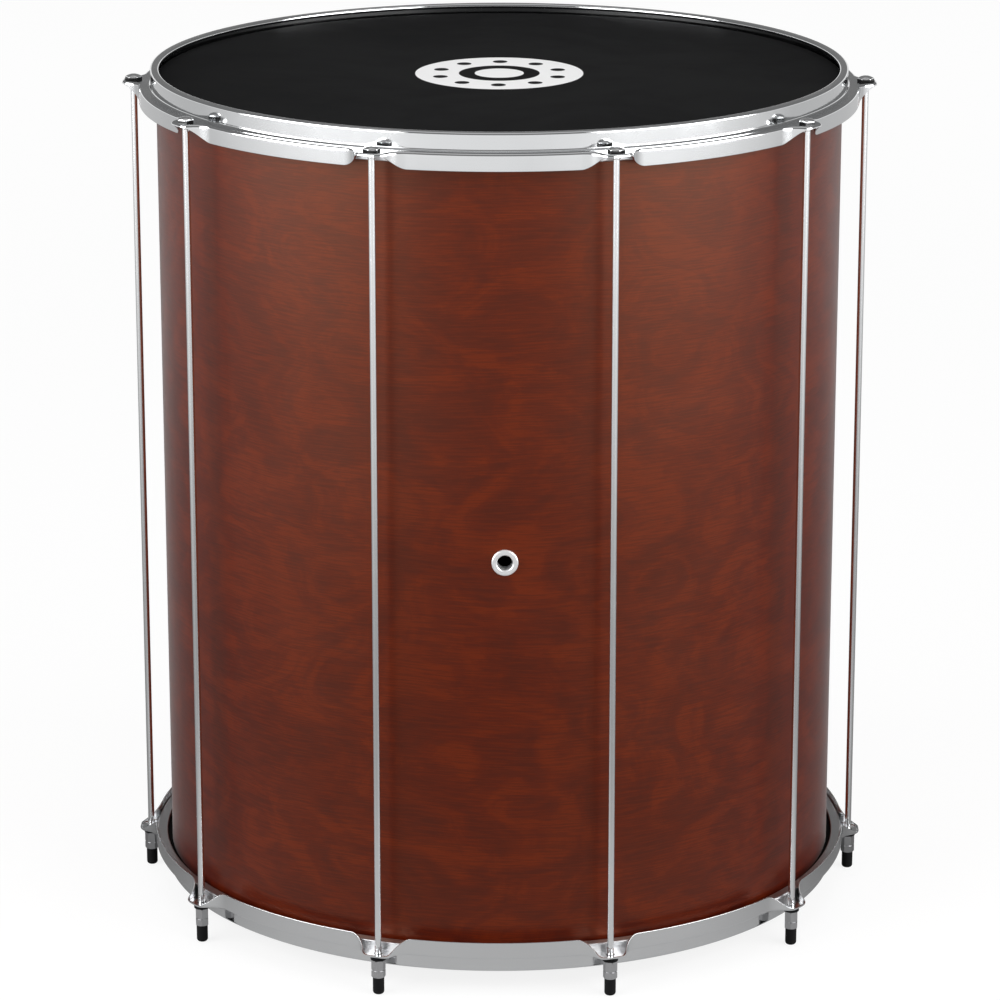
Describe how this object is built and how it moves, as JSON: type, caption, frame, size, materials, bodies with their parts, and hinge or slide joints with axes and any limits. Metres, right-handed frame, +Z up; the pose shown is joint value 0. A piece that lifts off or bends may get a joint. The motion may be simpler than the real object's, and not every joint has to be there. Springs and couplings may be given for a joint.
{
  "type": "surdo drum",
  "caption": "Large cylindrical bass drum: wooden shell, a head on each end, pressed steel hoops with ears, and long tension rods whose capped ends are its feet.",
  "frame": {"origin": "centre of the drum's axis on the floor plane that the rubber caps stand on", "axes": "+Z up along the drum's axis, front (the air vent) towards -Y"},
  "size_m": [0.6152, 0.5888, 0.6985],
  "materials": {
    "shell_wood": "satin reddish brown stained ply",
    "head_skin": "black fine grained napa",
    "hoop_chrome": "polished chrome on pressed steel",
    "rod_chrome": "polished chrome",
    "nut_chrome": "polished chrome",
    "vent_chrome": "polished chrome",
    "ring_aluminium": "plain drawn aluminium",
    "washer_black": "black nylon",
    "cap_rubber": "black rubber"
  },
  "bodies": {
    "frame": {"top_hoop": "hoop_chrome", "top_flesh_ring": "ring_aluminium", "tension_rod_01": "rod_chrome", "tension_rod_02": "rod_chrome", "tension_rod_03": "rod_chrome", "tension_rod_04": "rod_chrome", "tension_rod_05": "rod_chrome", "tension_rod_06": "rod_chrome", "tension_rod_07": "rod_chrome", "tension_rod_08": "rod_chrome", "tension_rod_09": "rod_chrome", "tension_rod_10": "rod_chrome", "rubber_cap_01": "cap_rubber", "rubber_cap_02": "cap_rubber", "rubber_cap_03": "cap_rubber", "rubber_cap_04": "cap_rubber", "rubber_cap_05": "cap_rubber", "rubber_cap_06": "cap_rubber", "rubber_cap_07": "cap_rubber", "rubber_cap_08": "cap_rubber", "rubber_cap_09": "cap_rubber", "rubber_cap_10": "cap_rubber"},
    "lower_hoop": {"bottom_hoop": "hoop_chrome", "bottom_flesh_ring": "ring_aluminium", "nut_washer_01": "washer_black", "nut_washer_02": "washer_black", "nut_washer_03": "washer_black", "nut_washer_04": "washer_black", "nut_washer_05": "washer_black", "nut_washer_06": "washer_black", "nut_washer_07": "washer_black", "nut_washer_08": "washer_black", "nut_washer_09": "washer_black", "nut_washer_10": "washer_black"},
    "shell_and_heads": {"shell": "shell_wood", "vent_eyelet": "vent_chrome", "vent_washer": "vent_chrome", "top_head": "head_skin", "bottom_head": "head_skin"},
    "nut_01": {"tuning_nut_01": "nut_chrome"},
    "nut_02": {"tuning_nut_02": "nut_chrome"},
    "nut_03": {"tuning_nut_03": "nut_chrome"},
    "nut_04": {"tuning_nut_04": "nut_chrome"},
    "nut_05": {"tuning_nut_05": "nut_chrome"},
    "nut_06": {"tuning_nut_06": "nut_chrome"},
    "nut_07": {"tuning_nut_07": "nut_chrome"},
    "nut_08": {"tuning_nut_08": "nut_chrome"},
    "nut_09": {"tuning_nut_09": "nut_chrome"},
    "nut_10": {"tuning_nut_10": "nut_chrome"}
  },
  "joints": [
    {"name": "hoop_travel", "type": "slide", "parent": "frame", "child": "lower_hoop", "axis": [0, 0, 1], "range_m": [0, 0.004]},
    {"name": "shell_travel", "type": "slide", "parent": "frame", "child": "shell_and_heads", "axis": [0, 0, 1], "range_m": [0, 0.002]},
    {"name": "nut_turn_01", "type": "hinge", "parent": "lower_hoop", "child": "nut_01", "pos_m": [0.29865, 0, 0.0218], "axis": [0, 0, 1], "range_deg": [0, 1440]},
    {"name": "nut_turn_02", "type": "hinge", "parent": "lower_hoop", "child": "nut_02", "pos_m": [0.24161, 0.17554, 0.0218], "axis": [0, 0, 1], "range_deg": [0, 1440]},
    {"name": "nut_turn_03", "type": "hinge", "parent": "lower_hoop", "child": "nut_03", "pos_m": [0.09229, 0.28403, 0.0218], "axis": [0, 0, 1], "range_deg": [0, 1440]},
    {"name": "nut_turn_04", "type": "hinge", "parent": "lower_hoop", "child": "nut_04", "pos_m": [-0.09229, 0.28403, 0.0218], "axis": [0, 0, 1], "range_deg": [0, 1440]},
    {"name": "nut_turn_05", "type": "hinge", "parent": "lower_hoop", "child": "nut_05", "pos_m": [-0.24161, 0.17554, 0.0218], "axis": [0, 0, 1], "range_deg": [0, 1440]},
    {"name": "nut_turn_06", "type": "hinge", "parent": "lower_hoop", "child": "nut_06", "pos_m": [-0.29865, 0, 0.0218], "axis": [0, 0, 1], "range_deg": [0, 1440]},
    {"name": "nut_turn_07", "type": "hinge", "parent": "lower_hoop", "child": "nut_07", "pos_m": [-0.24161, -0.17554, 0.0218], "axis": [0, 0, 1], "range_deg": [0, 1440]},
    {"name": "nut_turn_08", "type": "hinge", "parent": "lower_hoop", "child": "nut_08", "pos_m": [-0.09229, -0.28403, 0.0218], "axis": [0, 0, 1], "range_deg": [0, 1440]},
    {"name": "nut_turn_09", "type": "hinge", "parent": "lower_hoop", "child": "nut_09", "pos_m": [0.09229, -0.28403, 0.0218], "axis": [0, 0, 1], "range_deg": [0, 1440]},
    {"name": "nut_turn_10", "type": "hinge", "parent": "lower_hoop", "child": "nut_10", "pos_m": [0.24161, -0.17554, 0.0218], "axis": [0, 0, 1], "range_deg": [0, 1440]}
  ],
  "couplings": [
    {"joint": "shell_travel", "follows": "hoop_travel", "ratio": 0.5},
    {"joint": "nut_turn_01", "follows": "hoop_travel", "rad_per_m": 6283.2},
    {"joint": "nut_turn_02", "follows": "hoop_travel", "rad_per_m": 6283.2},
    {"joint": "nut_turn_03", "follows": "hoop_travel", "rad_per_m": 6283.2},
    {"joint": "nut_turn_04", "follows": "hoop_travel", "rad_per_m": 6283.2},
    {"joint": "nut_turn_05", "follows": "hoop_travel", "rad_per_m": 6283.2},
    {"joint": "nut_turn_06", "follows": "hoop_travel", "rad_per_m": 6283.2},
    {"joint": "nut_turn_07", "follows": "hoop_travel", "rad_per_m": 6283.2},
    {"joint": "nut_turn_08", "follows": "hoop_travel", "rad_per_m": 6283.2},
    {"joint": "nut_turn_09", "follows": "hoop_travel", "rad_per_m": 6283.2},
    {"joint": "nut_turn_10", "follows": "hoop_travel", "rad_per_m": 6283.2}
  ]
}
